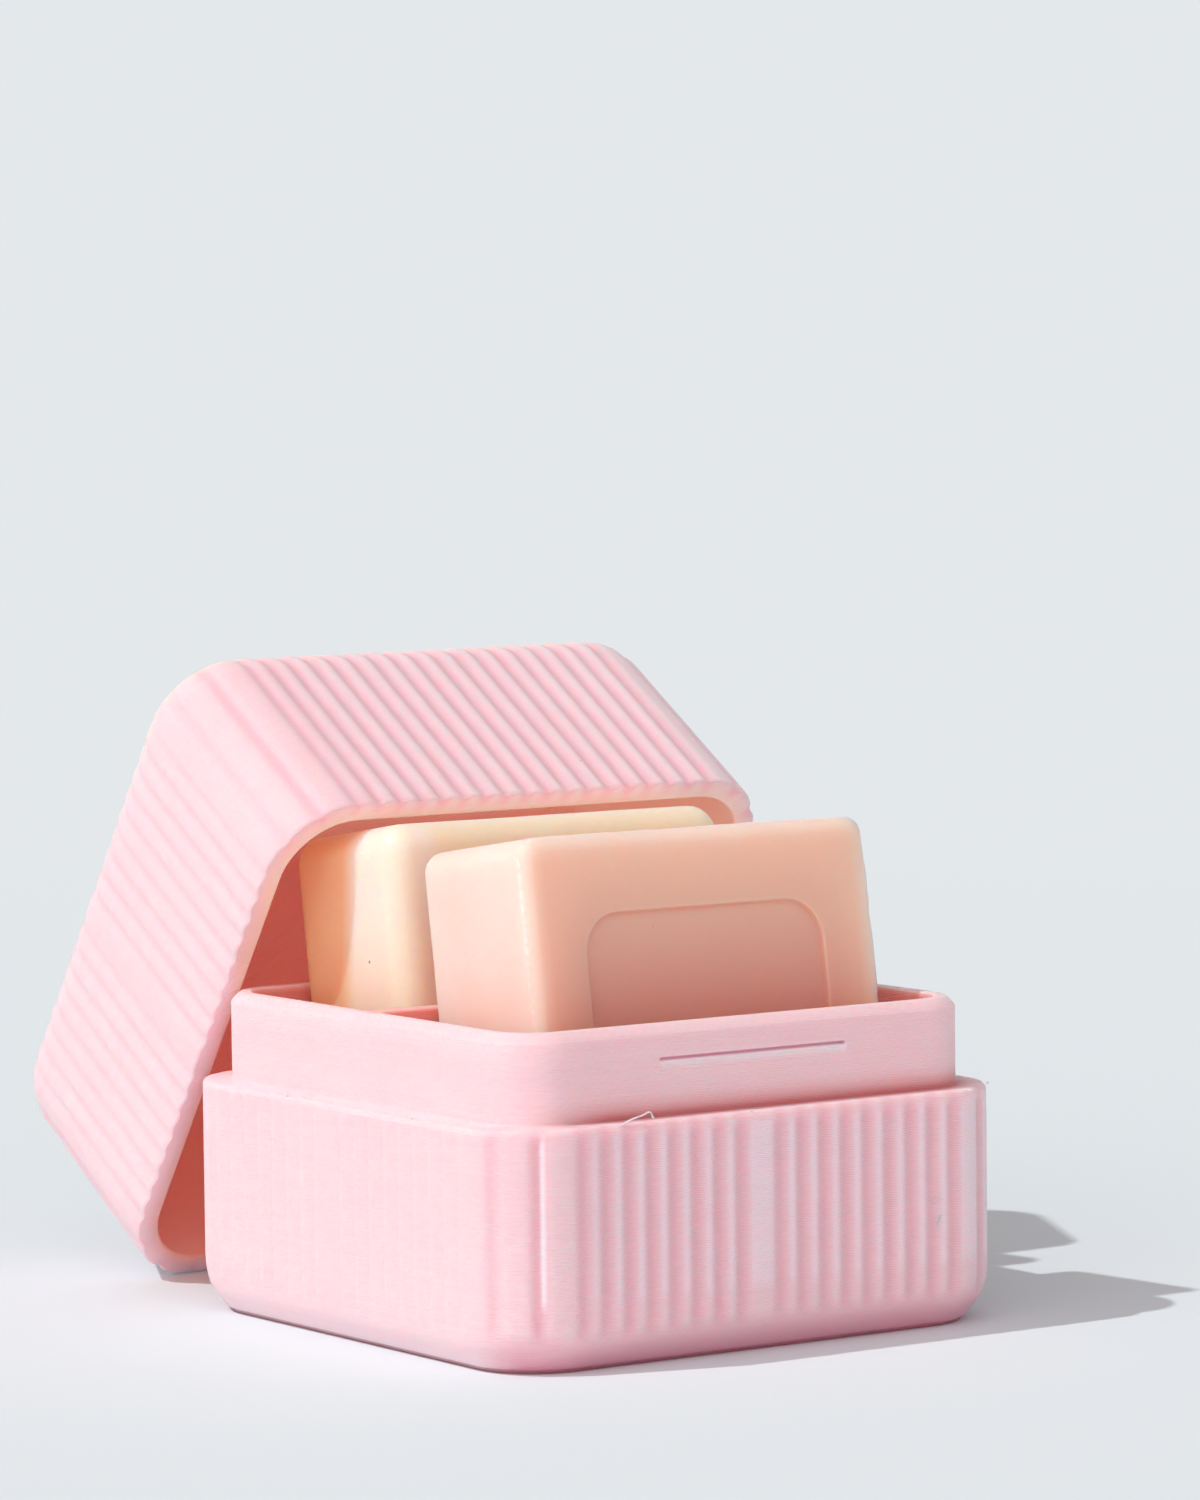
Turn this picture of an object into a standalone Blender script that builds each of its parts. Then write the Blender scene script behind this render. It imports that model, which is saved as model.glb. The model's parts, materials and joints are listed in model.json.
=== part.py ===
"""A two-bar shampoo bar case, printed in plastic: a square tub with a raised neck, a lid leaning
behind it, and the two soap bars that stand in the tub.

Lengths are in metres and +Z is up. The origin is the middle of the tub's underside. The tub's
front faces -Y and the lid leans on the +Y side.
"""

import math

import bmesh
import bpy
from mathutils import Matrix, Vector

# The soap bars that the case is built around
FRONT_BAR_WIDTH = 0.0580
FRONT_BAR_THICKNESS = 0.0255
FRONT_BAR_HEIGHT = 0.0633
FRONT_BAR_SHIFT = 0.0014
FRONT_BAR_CORNER = 0.0032
FRONT_BAR_EDGE = 0.0022
REAR_BAR_WIDTH = 0.0573
REAR_BAR_THICKNESS = 0.0274
REAR_BAR_HEIGHT = 0.0626
REAR_BAR_SHIFT = 0.0030
REAR_BAR_CORNER = 0.0042
REAR_BAR_EDGE = 0.0040
SEAM_SETBACK = 0.0050
SEAM_WIDTH = 0.0007
SEAM_PROUD = 0.00025
PANEL_WIDTH = 0.0400
PANEL_HEIGHT = 0.0420
PANEL_CORNER = 0.0060
PANEL_DEPTH = 0.0008
PANEL_EDGE = 0.00064

# The room that the case leaves them, front to back and under the closed lid
BAR_PLAY = 0.0004
HEAD_ROOM = 0.00015

# The corner of the square outline that the tub and the lid share
CORNER_RADIUS = 0.0131

# The upright ribs around that outline. Each side has one wide rib, a little off its middle.
RIB_PITCH = 0.00366
RIB_DEPTH = 0.00055
WIDE_RIB_WIDTH = 0.00646
WIDE_RIB_OFFSET = 0.0019
NARROW_RIBS_BEFORE = 7
NARROW_RIBS_AFTER = 8
CORNER_RIBS = 3

# The tub
SHOULDER_HEIGHT = 0.0328
SHOULDER_EDGE = 0.0004
FOOT_INSET = 0.0037
FOOT_HEIGHT = 0.0084
FLOOR_THICKNESS = 0.0020
FLOOR_SLOPE_DEGREES = 8.77
DIVIDER_THICKNESS = 0.0030
DIVIDER_FILLET = 0.0012

# The neck that the lid slides over
NECK_HEIGHT = 0.0122
NECK_INSET = 0.00425
NECK_WALL = 0.0030
RIM_CHAMFER = 0.0014
NECK_ROOT = 0.0050

# The catch: a long recess in the neck's front and one in its back, and a bead in the lid for each
CATCH_DROP = 0.0053
RECESS_LENGTH = 0.0310
RECESS_HEIGHT = 0.0016
RECESS_DEPTH = 0.0005
RECESS_TAPER = 0.0010
RECESS_FLOOR_SHARE = 0.3
CATCH_CLEARANCE = 0.00015

# The lid
LID_WALL = 0.0035
LID_CROWN = 0.0024
LID_ROUNDING_INSET = 0.0068
LID_ROUNDING_HEIGHT = 0.0075
LID_CAVITY_FILLET = 0.0040

# How the lid leans: how far it stands to the right, how it is turned, and its gaps to the neck and
# to the rear bar's top
LID_SIDE_SHIFT = 0.0055
LID_TURN_DEGREES = 1.46
LID_NECK_GAP = 0.0007
LID_BAR_GAP = 0.00125

# Gaps between pieces that touch, and how far a tool runs past what it cuts or joins
SEAT_CLEARANCE = 0.00035
OVERRUN = 0.0010

# A rib's cross-section: how deep its outline lies, as a share of RIB_DEPTH, at points across it.
# The rib is wide and round, and the valley on each side of it is narrow and soft.
NARROW_RIB_SHARES = [(0.0, 1.0), (0.16, 0.6), (0.32, 0.14), (0.5, 0.0), (0.68, 0.14), (0.84, 0.6)]
BROAD_RIB_SHARES = [(0.0, 1.0), (0.1, 0.6), (0.2, 0.14), (0.34, 0.0), (0.66, 0.0), (0.8, 0.14),
                    (0.9, 0.6)]

# The tub's foot: shares of FOOT_HEIGHT, FOOT_INSET and RIB_DEPTH, from the underside up
FOOT_SHARES = [(0.0, 1.0, 0.0), (0.27, 0.5, 0.0), (0.45, 0.22, 0.05), (0.62, 0.09, 0.6), (1.0, 0.0, 1.0)]

# The lid's rounding: shares of its height and inset along a quarter turn, and of RIB_DEPTH
CROWN_TURN_SHARES = [(0.0, 1.0), (0.3, 0.75), (0.55, 0.1), (0.78, 0.0), (1.0, 0.0)]

RIM_HEIGHT = SHOULDER_HEIGHT + NECK_HEIGHT
FLOOR_SLOPE = math.radians(FLOOR_SLOPE_DEGREES)
LID_TURN = math.radians(LID_TURN_DEGREES)


# How a bar stands on the sloping floor and leans on the wall behind it, at that wall's top


def foot_reach(thickness):
    """How far in front of the wall a leaning bar's lower front edge lies, along its own depth."""
    return (RIM_HEIGHT - FLOOR_THICKNESS) * math.sin(FLOOR_SLOPE) + SEAT_CLEARANCE + thickness


def leaning_depth(thickness):
    """The room that a leaning bar takes from front to back inside its compartment."""
    return foot_reach(thickness) * math.cos(FLOOR_SLOPE) - SEAT_CLEARANCE * math.sin(FLOOR_SLOPE)


def leaning_top(thickness, height):
    """How high a leaning bar's upper front edge stands."""
    return (FLOOR_THICKNESS + foot_reach(thickness) * math.sin(FLOOR_SLOPE)
            + (SEAT_CLEARANCE + height) * math.cos(FLOOR_SLOPE))


COMPARTMENT_DEPTH = leaning_depth(max(FRONT_BAR_THICKNESS, REAR_BAR_THICKNESS)) + BAR_PLAY
BORE_HALF = DIVIDER_THICKNESS / 2 + COMPARTMENT_DEPTH
NECK_HALF = BORE_HALF + NECK_WALL
HALF = NECK_HALF + NECK_INSET
FLAT_HALF = HALF - CORNER_RADIUS
SIDE_LENGTH = 2 * FLAT_HALF + CORNER_RADIUS * math.pi / 2

LID_BORE_HALF = HALF - LID_WALL
LID_HEIGHT = LID_CROWN + HEAD_ROOM - SHOULDER_HEIGHT + max(
    leaning_top(FRONT_BAR_THICKNESS, FRONT_BAR_HEIGHT), leaning_top(REAR_BAR_THICKNESS, REAR_BAR_HEIGHT))


# Collections, materials and objects


def clear_scene():
    for thing in list(bpy.data.objects):
        bpy.data.objects.remove(thing, do_unlink=True)


def new_collection(name):
    collection = bpy.data.collections.new(name)
    bpy.context.scene.collection.children.link(collection)
    return collection


def material(name, colour, roughness, subsurface=0.0):
    made = bpy.data.materials.new(name)
    made.use_nodes = True
    shader = made.node_tree.nodes["Principled BSDF"]
    shader.inputs["Base Color"].default_value = (*colour, 1.0)
    shader.inputs["Roughness"].default_value = roughness
    shader.inputs["Metallic"].default_value = 0.0
    shader.inputs["Subsurface Weight"].default_value = subsurface
    made.diffuse_color = (*colour, 1.0)
    return made


def add_object(bm, name, collection, look=None):
    bmesh.ops.recalc_face_normals(bm, faces=bm.faces)
    mesh = bpy.data.meshes.new(name)
    bm.to_mesh(mesh)
    bm.free()
    thing = bpy.data.objects.new(name, mesh)
    collection.objects.link(thing)
    if look:
        mesh.materials.append(look)
    else:
        thing.hide_render = True
        thing.display_type = "WIRE"
    return thing


def boolean(target, tool, operation):
    modifier = target.modifiers.new(tool.name, "BOOLEAN")
    modifier.operation = operation
    modifier.solver = "EXACT"
    modifier.object = tool
    return modifier


def shade(thing, degrees=32):
    thing.data.shade_smooth()
    thing.data.set_sharp_from_angle(angle=math.radians(degrees))


# The ribbed outline


def outline_point(along):
    """The place and the outward direction on the square outline, for a distance along it.
    The distance starts at the middle of the front and runs towards +X, so it goes round once."""
    side, rest = divmod(along + SIDE_LENGTH / 2, SIDE_LENGTH)
    rest -= SIDE_LENGTH / 2
    over = max(abs(rest) - FLAT_HALF, 0)
    angle = math.copysign(over / CORNER_RADIUS, rest)
    outward = Vector((math.sin(angle), -math.cos(angle)))
    centre = Vector((max(-FLAT_HALF, min(FLAT_HALF, rest)), -FLAT_HALF))
    turn = Matrix.Rotation(side * math.pi / 2, 2)
    return turn @ (centre + outward * CORNER_RADIUS), turn @ outward


def rib_samples():
    """Every point of the ribbed outline: its distance along it, and its depth as a share."""
    first = -WIDE_RIB_OFFSET - WIDE_RIB_WIDTH / 2 - NARROW_RIBS_BEFORE * RIB_PITCH
    edges = [first + k * RIB_PITCH for k in range(NARROW_RIBS_BEFORE + 1)]
    last = -WIDE_RIB_OFFSET + WIDE_RIB_WIDTH / 2
    edges += [last + k * RIB_PITCH for k in range(NARROW_RIBS_AFTER + 1)]
    corner = (first + SIDE_LENGTH - edges[-1]) / CORNER_RIBS
    edges += [edges[-1] + (k + 1) * corner for k in range(CORNER_RIBS)]
    samples = []
    for side in range(4):
        for start, end in zip(edges, edges[1:]):
            broad = end - start > RIB_PITCH * 1.2
            for across, depth in BROAD_RIB_SHARES if broad else NARROW_RIB_SHARES:
                samples.append((side * SIDE_LENGTH + start + across * (end - start), depth))
    return samples


RIB_SAMPLES = rib_samples()


def ribbed_section(z, inset, rib_share):
    """One closed section of the ribbed wall, set in by a length, with its ribs faded by a share."""
    points = []
    for along, depth in RIB_SAMPLES:
        place, outward = outline_point(along)
        place -= outward * (inset + depth * rib_share * RIB_DEPTH)
        points.append((place.x, place.y, z))
    return points


def loft(sections):
    """A solid through closed sections of the same count, with a flat face at each end."""
    bm = bmesh.new()
    rings = [[bm.verts.new(point) for point in section] for section in sections]
    for low, high in zip(rings, rings[1:]):
        for k in range(len(low)):
            nxt = (k + 1) % len(low)
            bm.faces.new((low[k], low[nxt], high[nxt], high[k]))
    bm.faces.new(list(reversed(rings[0])))
    bm.faces.new(rings[-1])
    return bm


# Rounded blocks


def block(size, centre):
    bm = bmesh.new()
    bmesh.ops.create_cube(bm, size=1)
    bmesh.ops.scale(bm, vec=size, verts=bm.verts)
    bmesh.ops.translate(bm, vec=centre, verts=bm.verts)
    return bm


def round_edges(bm, chosen, radius, segments):
    bmesh.ops.bevel(bm, geom=chosen, offset=radius, segments=segments, profile=0.5, affect="EDGES",
                    clamp_overlap=True)


def edges_along(bm, axis):
    """The edges that run along one axis, 0 for X, 1 for Y and 2 for Z."""
    found = []
    for edge in bm.edges:
        run = edge.verts[0].co - edge.verts[1].co
        if abs(run[axis]) > run.length * 0.999:
            found.append(edge)
    return found


def edges_at(bm, axis, value, reach):
    """The edges that lie in the plane where one coordinate has a value."""
    return [edge for edge in bm.edges if all(abs(v.co[axis] - value) < reach for v in edge.verts)]


# The tub


def make_tub(pieces, tools, look):
    sections = [ribbed_section(high * FOOT_HEIGHT, inset * FOOT_INSET, ribs)
                for high, inset, ribs in FOOT_SHARES]
    sections.append(ribbed_section(SHOULDER_HEIGHT - SHOULDER_EDGE, 0, 1))
    sections.append(ribbed_section(SHOULDER_HEIGHT, SHOULDER_EDGE, 1))
    tub = add_object(loft(sections), "tub", pieces, look)

    root = SHOULDER_HEIGHT - NECK_ROOT
    neck = block((2 * NECK_HALF, 2 * NECK_HALF, RIM_HEIGHT - root), (0, 0, (RIM_HEIGHT + root) / 2))
    round_edges(neck, edges_along(neck, 2), CORNER_RADIUS - NECK_INSET, 9)
    round_edges(neck, edges_at(neck, 2, RIM_HEIGHT, RIM_CHAMFER / 10), RIM_CHAMFER, 2)
    boolean(tub, add_object(neck, "tool_neck", tools), "UNION")

    for name, front, back in (("tool_front_compartment", -BORE_HALF, -DIVIDER_THICKNESS / 2),
                              ("tool_rear_compartment", DIVIDER_THICKNESS / 2, BORE_HALF)):
        boolean(tub, make_compartment(name, front, back, tools), "DIFFERENCE")
    boolean(tub, make_catches("tool_recesses", tools, 0), "DIFFERENCE")
    shade(tub)
    return tub


def make_compartment(name, front, back, tools):
    """The space for one bar: its outer corners follow the neck's, and its floor falls to the back."""
    top = RIM_HEIGHT + OVERRUN
    bm = block((2 * BORE_HALF, back - front, top - FLOOR_THICKNESS),
               (0, (front + back) / 2, (top + FLOOR_THICKNESS) / 2))
    outer = max(abs(front), abs(back))
    upright = edges_along(bm, 2)
    at_wall = [edge for edge in upright if abs(edge.verts[0].co.y) > outer * 0.99]
    at_divider = [edge for edge in upright if edge not in at_wall]
    round_edges(bm, at_wall, CORNER_RADIUS - NECK_INSET - NECK_WALL, 6)
    round_edges(bm, [e for e in at_divider if e.is_valid], DIVIDER_FILLET, 2)
    for vert in bm.verts:
        if vert.co.z < RIM_HEIGHT / 2:
            vert.co.z = FLOOR_THICKNESS + (back - vert.co.y) * math.tan(FLOOR_SLOPE)
    return add_object(bm, name, tools)


def make_catches(name, tools, shrink):
    """Two long wedges, at the neck's front and back. Unshrunk they cut its recesses. Shrunk on every
    side and lengthened outwards they are the beads inside the lid, still in the closed lid's place."""
    bm = bmesh.new()
    outer = OVERRUN + (LID_BORE_HALF if shrink else NECK_HALF)
    inner = NECK_HALF - RECESS_DEPTH + shrink
    half_length = RECESS_LENGTH / 2 - shrink
    half_height = RECESS_HEIGHT / 2 - shrink
    middle = RIM_HEIGHT - CATCH_DROP
    for half_turns in range(2):
        made = bmesh.ops.create_cube(bm, size=1)["verts"]
        for vert in made:
            deep = vert.co.y > 0
            x = math.copysign(half_length - RECESS_TAPER if deep else half_length, vert.co.x)
            z = math.copysign(half_height * RECESS_FLOOR_SHARE if deep else half_height, vert.co.z)
            vert.co = (x, -inner if deep else -outer, middle + z)
        turn = Matrix.Rotation(half_turns * math.pi, 3, "Z")
        bmesh.ops.rotate(bm, cent=(0, 0, 0), matrix=turn, verts=made)
    return add_object(bm, name, tools)


# The lid


def make_lid(pieces, tools, look):
    """The lid in its own frame: its open rim is at zero and its closed crown points up."""
    sections = [ribbed_section(0, SHOULDER_EDGE, 1), ribbed_section(SHOULDER_EDGE, 0, 1)]
    for turn_share, ribs in CROWN_TURN_SHARES:
        turn = turn_share * math.pi / 2
        sections.append(ribbed_section(
            LID_HEIGHT - LID_ROUNDING_HEIGHT * (1 - math.sin(turn)),
            LID_ROUNDING_INSET * (1 - math.cos(turn)), ribs))
    lid = add_object(loft(sections), "lid", pieces, look)

    low, high = -OVERRUN, LID_HEIGHT - LID_CROWN
    bore = block((2 * LID_BORE_HALF, 2 * LID_BORE_HALF, high - low), (0, 0, (high + low) / 2))
    round_edges(bore, edges_along(bore, 2), CORNER_RADIUS - LID_WALL, 9)
    round_edges(bore, edges_at(bore, 2, high, LID_CROWN / 10), LID_CAVITY_FILLET, 4)
    boolean(lid, add_object(bore, "tool_lid_bore", tools), "DIFFERENCE")

    beads = make_catches("tool_beads", tools, CATCH_CLEARANCE)
    beads.data.transform(Matrix.Translation((0, 0, -SHOULDER_HEIGHT)))
    boolean(lid, beads, "UNION")
    for tool in (bpy.data.objects["tool_lid_bore"], beads):
        tool.parent = lid
    shade(lid)
    return lid


def neck_back_at(across):
    """How far back the neck's outside reaches at a distance from the middle."""
    over = max(abs(across) - FLAT_HALF, 0)
    radius = CORNER_RADIUS - NECK_INSET
    return FLAT_HALF + math.sqrt(max(radius**2 - over**2, 0))


def lid_rest(bar_top):
    """The leaning lid's pose. Its rim stands on the ground behind the tub, one side wall leans on
    the neck's corner, and the upper wall's inner edge lies over the rear bar's sloping top."""
    wall = LID_BORE_HALF - LID_SIDE_SHIFT
    touch_y = neck_back_at(wall) + math.sin(LID_TURN) * LID_BORE_HALF
    touch_z = RIM_HEIGHT - RIM_CHAMFER
    reach = HALF + LID_BORE_HALF
    steep = 0.6
    for _ in range(40):
        foot_y = touch_y + LID_NECK_GAP / math.cos(steep) + touch_z * math.tan(steep)
        sunk = SHOULDER_EDGE * math.sin(steep)
        over = (LID_BAR_GAP + (bar_top.z + sunk) * math.cos(FLOOR_SLOPE)
                + (bar_top.y - foot_y) * math.sin(FLOOR_SLOPE))
        steep = math.acos(min(over / reach, 1)) - FLOOR_SLOPE
    centre = Vector((LID_SIDE_SHIFT, foot_y - HALF * math.sin(steep), HALF * math.cos(steep) - sunk))
    tilt = math.pi / 2 - steep
    return Matrix.Translation(centre) @ Matrix.Rotation(LID_TURN, 4, "Z") @ Matrix.Rotation(-tilt, 4, "X")


# The bars


def bar_place(wall_y, thickness, shift):
    """Where a bar's foot stands, the middle of its underside, and its lean."""
    along = foot_reach(thickness) - thickness / 2
    turn = Matrix.Rotation(-FLOOR_SLOPE, 4, "X")
    foot = Vector((shift, wall_y, FLOOR_THICKNESS)) + turn @ Vector((0, -along, SEAT_CLEARANCE))
    return Matrix.Translation(foot) @ turn


def bar_block(width, thickness, height, corner, edge, segments):
    """A bar with its foot at zero: its corners are rounded seen from the front, then its edges."""
    bm = block((width, thickness, height), (0, 0, height / 2))
    round_edges(bm, edges_along(bm, 1), corner, segments)
    rims = edges_at(bm, 1, -thickness / 2, edge / 10) + edges_at(bm, 1, thickness / 2, edge / 10)
    round_edges(bm, rims, edge, segments)
    return bm


def make_front_bar(pieces, tools, look):
    """The bar in front, with its mould's seam and a plain square panel pressed into its face."""
    width, thick, high = FRONT_BAR_WIDTH, FRONT_BAR_THICKNESS, FRONT_BAR_HEIGHT
    bar = add_object(bar_block(width, thick, high, FRONT_BAR_CORNER, FRONT_BAR_EDGE, 4),
                     "front_bar", pieces, look)
    seam = block((width + 2 * SEAM_PROUD, SEAM_WIDTH, high),
                 (0, SEAM_SETBACK - thick / 2, high / 2 + SEAM_PROUD))
    round_edges(seam, edges_along(seam, 1), FRONT_BAR_CORNER + SEAM_PROUD, 4)
    seam = add_object(seam, "tool_seam", tools)
    boolean(bar, seam, "UNION")

    face = -thick / 2
    panel = block((PANEL_WIDTH, PANEL_DEPTH + OVERRUN, PANEL_HEIGHT),
                  (0, face + (PANEL_DEPTH - OVERRUN) / 2, high / 2))
    round_edges(panel, edges_along(panel, 1), PANEL_CORNER, 6)
    floor = edges_at(panel, 1, face + PANEL_DEPTH, PANEL_DEPTH / 10)
    round_edges(panel, floor, PANEL_EDGE, 2)
    panel = add_object(panel, "tool_panel", tools)
    boolean(bar, panel, "DIFFERENCE")
    for tool in (seam, panel):
        tool.parent = bar
    shade(bar, 40)
    bar.matrix_world = bar_place(-DIVIDER_THICKNESS / 2, thick, FRONT_BAR_SHIFT)
    return bar


def make_rear_bar(pieces, look):
    bar = add_object(bar_block(REAR_BAR_WIDTH, REAR_BAR_THICKNESS, REAR_BAR_HEIGHT, REAR_BAR_CORNER,
                               REAR_BAR_EDGE, 5), "rear_bar", pieces, look)
    shade(bar, 40)
    bar.matrix_world = bar_place(BORE_HALF, REAR_BAR_THICKNESS, REAR_BAR_SHIFT)
    return bar


# The whole object


def build():
    clear_scene()
    pieces = new_collection("shampoo bar case")
    tools = new_collection("cutters")
    make_tub(pieces, tools, material("pink printed plastic, tub", (0.86, 0.56, 0.62), 0.5))
    lid = make_lid(pieces, tools, material("pink printed plastic, lid", (0.86, 0.56, 0.62), 0.5))
    make_front_bar(pieces, tools, material("blush soap", (0.80, 0.52, 0.42), 0.45, 0.3))
    rear = make_rear_bar(pieces, material("cream soap", (0.88, 0.77, 0.55), 0.45, 0.3))
    lid.matrix_world = lid_rest(rear.matrix_world @ Vector((0, 0, REAR_BAR_HEIGHT)))


build()
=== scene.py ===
# %% [markdown]
# # A printed shampoo bar case, ready for its photograph
#
# The object is a small square case for two solid shampoo bars, printed in pale pink plastic. Its lid
# is off and leans behind it, and both bars stand in the tub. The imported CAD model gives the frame:
# every body, joint and box is loaded below, in metres, and nothing that follows moves it. The CAD
# solids carry the true sizes with few facets. This script gives each of them a finer skin of the same
# size, with print layers, soft ribs and waxy soap, and lights the lot like a sunny product shot.

# %% Load the frame
import json
import math

import bmesh
import bpy
from mathutils import Matrix, Vector, noise


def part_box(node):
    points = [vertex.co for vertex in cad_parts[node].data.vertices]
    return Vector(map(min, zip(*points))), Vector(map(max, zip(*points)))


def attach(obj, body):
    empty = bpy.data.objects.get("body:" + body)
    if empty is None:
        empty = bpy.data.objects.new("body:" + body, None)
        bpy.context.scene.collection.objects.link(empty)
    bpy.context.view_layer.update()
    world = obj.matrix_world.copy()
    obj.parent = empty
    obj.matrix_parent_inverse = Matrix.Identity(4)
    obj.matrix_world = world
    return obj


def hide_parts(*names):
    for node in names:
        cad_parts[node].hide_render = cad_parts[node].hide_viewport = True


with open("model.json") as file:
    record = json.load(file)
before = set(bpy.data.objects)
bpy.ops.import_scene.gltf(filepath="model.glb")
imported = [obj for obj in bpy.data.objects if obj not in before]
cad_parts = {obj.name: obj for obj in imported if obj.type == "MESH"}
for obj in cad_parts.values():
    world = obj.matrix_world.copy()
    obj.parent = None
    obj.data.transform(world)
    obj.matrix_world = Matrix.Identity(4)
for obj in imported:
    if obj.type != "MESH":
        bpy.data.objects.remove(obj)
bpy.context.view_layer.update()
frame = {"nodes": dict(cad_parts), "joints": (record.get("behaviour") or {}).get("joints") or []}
print("nodes:", ", ".join(sorted(frame["nodes"])))

# %% [markdown]
# ## Sizes
#
# The overall sizes are read from the boxes of the CAD nodes. The rest are the walls, ribs and radii
# that a maker would write on the drawing, in metres.

# %% Sizes of the case
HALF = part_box("tub")[1].x
RIM_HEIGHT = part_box("tub")[1].z
CORNER_RADIUS = 0.0131
SHOULDER_HEIGHT = 0.0328
FOOT_INSET = 0.0037
FOOT_HEIGHT = 0.0084
NECK_INSET = 0.00425
NECK_WALL = 0.0030
RIM_ROUND = 0.0014
LIP_ROUND = 0.0004
DIVIDER = 0.0030
FLOOR_THICKNESS = 0.0020
LID_HEIGHT = 0.0396
LID_WALL = 0.0035
LID_CROWN = 0.0024
LID_ROUND_INSET = 0.00705
LID_ROUND_HEIGHT = 0.00775
LID_LIP = 0.00057
LID_FILLET = 0.0040

FLAT_HALF = HALF - CORNER_RADIUS
SIDE_LENGTH = 2 * FLAT_HALF + CORNER_RADIUS * math.pi / 2
BORE_HALF = HALF - NECK_INSET - NECK_WALL
print(f"outline {2 * HALF:.4f} m square, compartments {2 * BORE_HALF:.4f} m wide")

# %% [markdown]
# ## The ribbed outline
#
# Both halves of the case share one outline: a rounded square whose edge is scalloped into ribs. On
# each side a wide rib sits a little off the middle, narrow ones fill the rest, and three broad ones
# turn the corner. Only the lid's upper side, as it leans, has even ribs and no wide one. One way is to
# model a rib and repeat it with an Array, but then the corners need their own pieces and the joints
# show. Here the outline is a formula instead: a distance along the edge gives a place, and a second
# value says how deep the scallop lies there. A ring of vertices can then follow it at any height,
# inset or rib depth. The valleys are soft: a cosine raised to a power gives wide round ribs with
# narrower round valleys between them, and no crease.

# %% The formula of the outline
RIB_PITCH = 0.00366
RIB_DEPTH = 0.00042
RIB_POWER = 1.2
WIDE_RIB = 0.00646
WIDE_RIB_OFFSET = 0.0019
RIBS_BEFORE = 7
RIBS_AFTER = 8
EVEN_RIBS = 17
CORNER_RIBS = 3
RIB_STEPS = 12


def outline_point(distance):
    """The place on the rounded square and the outward direction there, from a distance along it."""
    side, rest = divmod(distance + SIDE_LENGTH / 2, SIDE_LENGTH)
    rest -= SIDE_LENGTH / 2
    angle = math.copysign(max(abs(rest) - FLAT_HALF, 0) / CORNER_RADIUS, rest)
    outward = Vector((math.sin(angle), -math.cos(angle)))
    centre = Vector((max(-FLAT_HALF, min(FLAT_HALF, rest)), -FLAT_HALF))
    turn = Matrix.Rotation(side * math.pi / 2, 2)
    return turn @ (centre + outward * CORNER_RADIUS), turn @ outward


def from_catch_middle(distance):
    """How far along the outline a point lies from the middle of the front or of the back."""
    return (distance + SIDE_LENGTH) % (2 * SIDE_LENGTH) - SIDE_LENGTH


def valley_depth(from_valley):
    """How deep the outline lies at a distance from a valley: 1 in it, 0 from half a pitch away."""
    share = min(1, from_valley / (RIB_PITCH / 2))
    return ((1 + math.cos(math.pi * share)) / 2) ** RIB_POWER


def rib_valleys(even=False):
    """Where the valleys of one side lie, from its first rib to the first of the next side."""
    first = -WIDE_RIB_OFFSET - WIDE_RIB / 2 - RIBS_BEFORE * RIB_PITCH
    last = -WIDE_RIB_OFFSET + WIDE_RIB / 2 + RIBS_AFTER * RIB_PITCH
    if even:
        valleys = [first + k * (last - first) / EVEN_RIBS for k in range(EVEN_RIBS + 1)]
    else:
        valleys = [first + k * RIB_PITCH for k in range(RIBS_BEFORE + 1)]
        valleys += [last - k * RIB_PITCH for k in range(RIBS_AFTER, -1, -1)]
    corner = (first + SIDE_LENGTH - last) / CORNER_RIBS
    return valleys + [last + (k + 1) * corner for k in range(CORNER_RIBS)]


def rib_marks(even_sides=()):
    """Every vertex of the ring: its distance along the outline, and its depth from 0 to 1."""
    marks = []
    for side in range(4):
        valleys = rib_valleys(side in even_sides)
        for start, end in zip(valleys, valleys[1:]):
            for step in range(RIB_STEPS):
                across = step / RIB_STEPS * (end - start)
                depth = valley_depth(min(across, end - start - across))
                marks.append((side * SIDE_LENGTH + start + across, depth))
    return marks


TUB_MARKS = rib_marks()
LID_MARKS = rib_marks(even_sides=(0,))
print(f"{len(rib_valleys()) - 1} ribs a side, {len(TUB_MARKS)} vertices in the tub's ring")

# %% [markdown]
# ## A ring that climbs
#
# A printer lays one ring of plastic on another, and the mesh grows the same way. The ring starts as a
# circle of vertices. Each vertex keeps its distance and depth in two layers of custom data, and
# Extrude copies those layers, so every new ring knows where its vertices belong. One small method
# extrudes the ring and puts it at the next height, inset and rib depth. Two more layers are kept for
# the material: how far down in a valley a vertex lies, and how deep in the catch's recess it lies.

# %% The ring and its climb


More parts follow.
